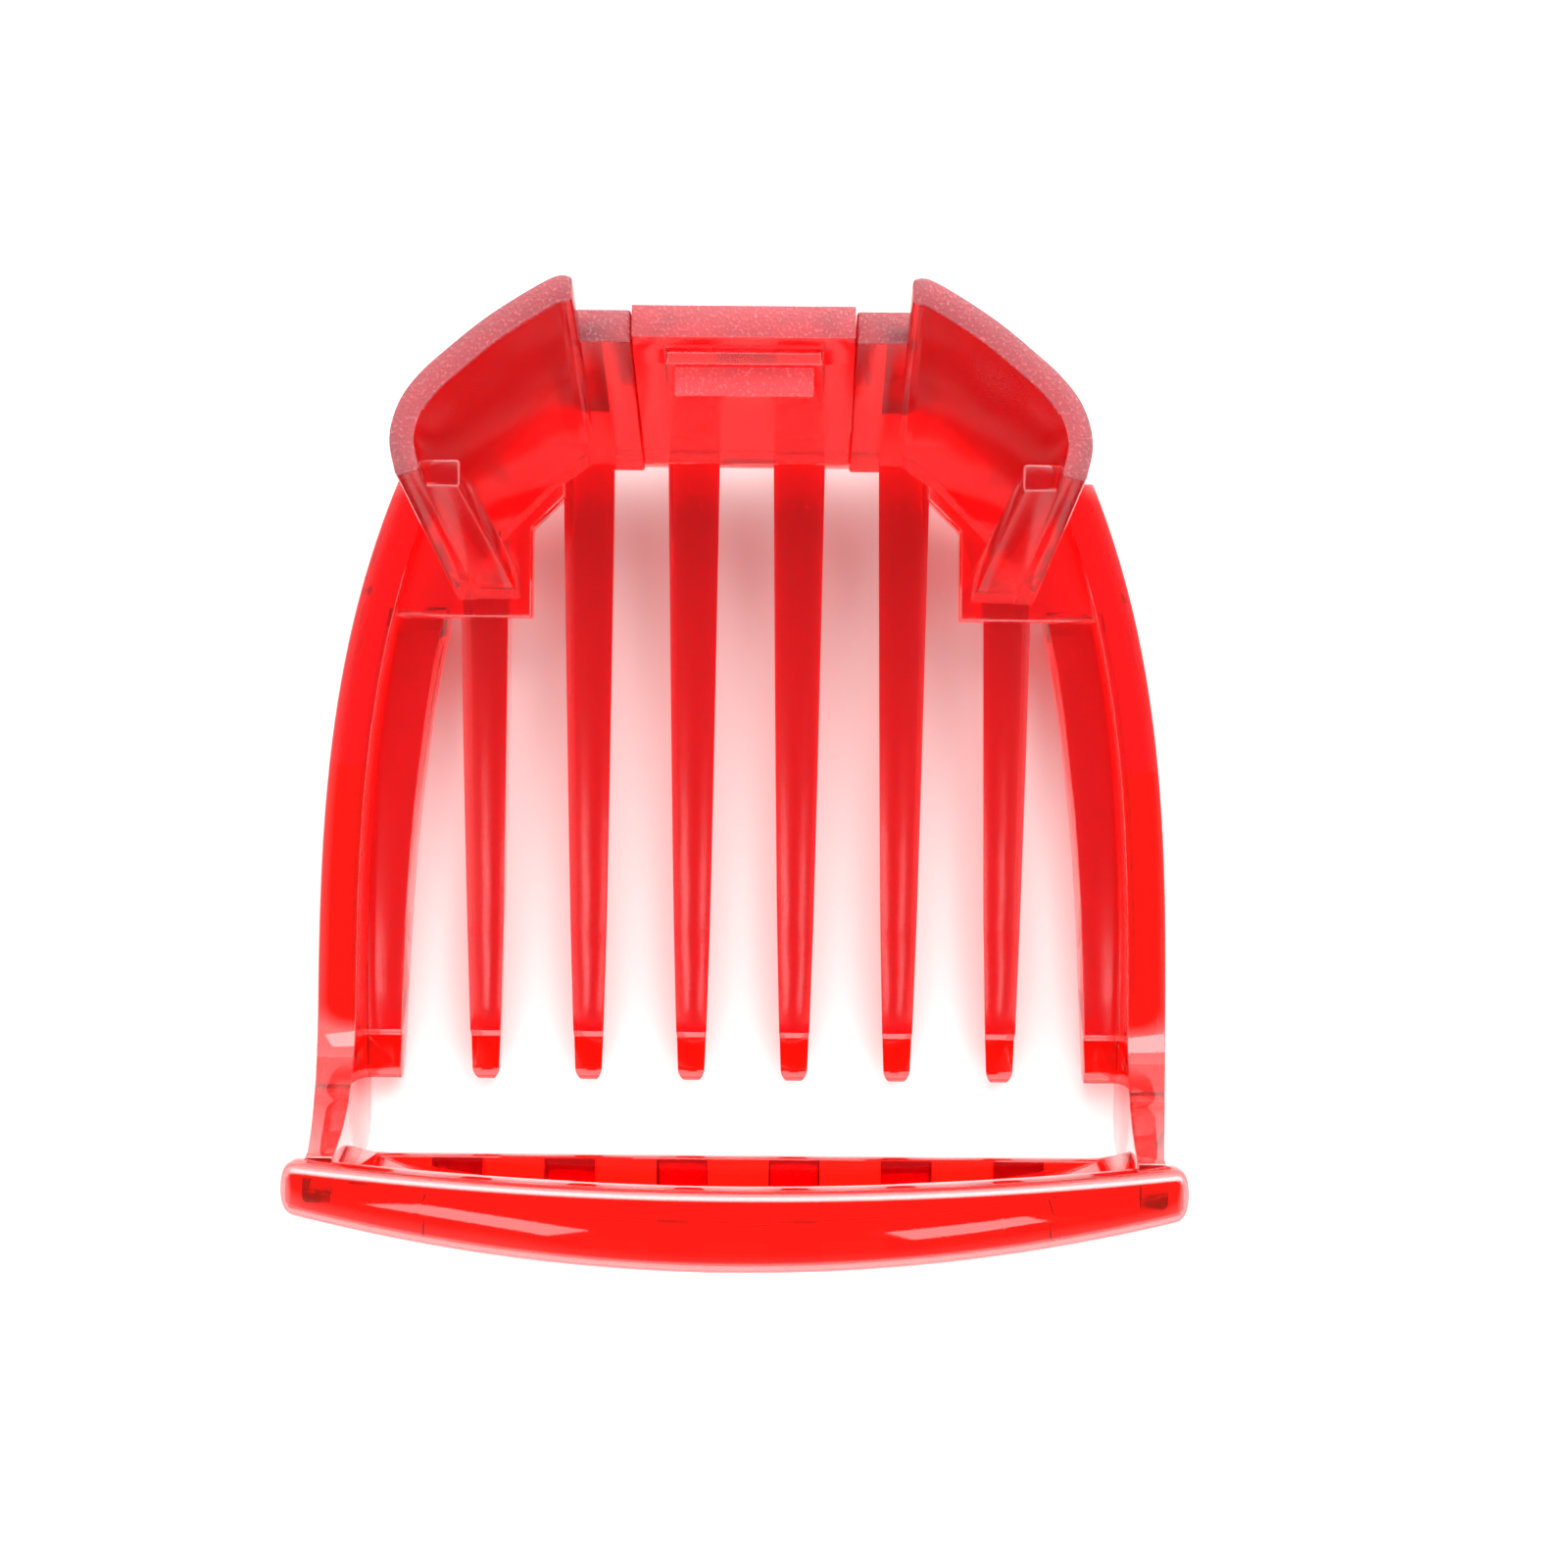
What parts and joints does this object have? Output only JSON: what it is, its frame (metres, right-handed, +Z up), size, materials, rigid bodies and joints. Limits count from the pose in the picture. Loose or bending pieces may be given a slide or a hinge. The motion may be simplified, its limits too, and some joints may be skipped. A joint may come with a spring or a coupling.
{
  "type": "hair clipper guide comb",
  "caption": "Clear red clip-on guide comb for a hair clipper: free teeth, curved side walls, flared rear wings with a sprung latch, and a front hoop with a finger lip.",
  "frame": {"origin": "middle of the underside of the comb's box, on the plane that the teeth lie on", "axes": "+X to the right seen from the clipper's side with the latch at the top, +Y along the teeth towards the latch, +Z up out of the open side"},
  "size_m": [0.044, 0.0455, 0.02],
  "materials": {
    "tooth_plastic": "clear red, polished, rough EDM texture on the upper edges towards the roots",
    "floor_plastic": "clear red, deeper where the walls meet",
    "wall_plastic": "clear red, polished",
    "wing_plastic": "clear red, polished faces with a rough sparkling rim",
    "rear_plastic": "clear red, polished faces with a rough sparkling rim",
    "catch_plastic": "clear red with a rough sparkling top",
    "hoop_plastic": "clear bright red, polished",
    "lip_plastic": "clear red, high gloss"
  },
  "bodies": {
    "comb": {"tooth_1": "tooth_plastic", "tooth_2": "tooth_plastic", "tooth_3": "tooth_plastic", "tooth_4": "tooth_plastic", "tooth_5": "tooth_plastic", "tooth_6": "tooth_plastic", "tooth_7": "tooth_plastic", "tooth_8": "tooth_plastic", "crossbar": "floor_plastic", "corner_floor_left": "floor_plastic", "corner_floor_right": "floor_plastic", "side_wall_left": "wall_plastic", "side_wall_right": "wall_plastic", "rear_flank_left": "rear_plastic", "rear_flank_right": "rear_plastic", "wing_left": "wing_plastic", "wing_right": "wing_plastic", "wing_strut_left": "wing_plastic", "wing_strut_right": "wing_plastic", "front_arm_left": "wall_plastic", "front_arm_right": "wall_plastic", "front_hoop": "hoop_plastic", "finger_lip": "lip_plastic", "hoop_rib_1": "hoop_plastic", "hoop_rib_2": "hoop_plastic", "hoop_rib_3": "hoop_plastic", "hoop_rib_4": "hoop_plastic", "hoop_rib_5": "hoop_plastic", "hoop_rib_6": "hoop_plastic", "lip_pip_left": "lip_plastic", "lip_pip_right": "lip_plastic"},
    "latch": {"latch_tongue": "rear_plastic", "latch_catch": "catch_plastic", "latch_rib_left": "rear_plastic", "latch_rib_right": "rear_plastic"}
  },
  "joints": [
    {"name": "latch_flex", "type": "hinge", "parent": "comb", "child": "latch", "pos_m": [0, 0.01717, 0.0048], "axis": [-1, 0, 0], "range_deg": [0, 8], "stiffness_Nm_per_rad": 0.2}
  ]
}
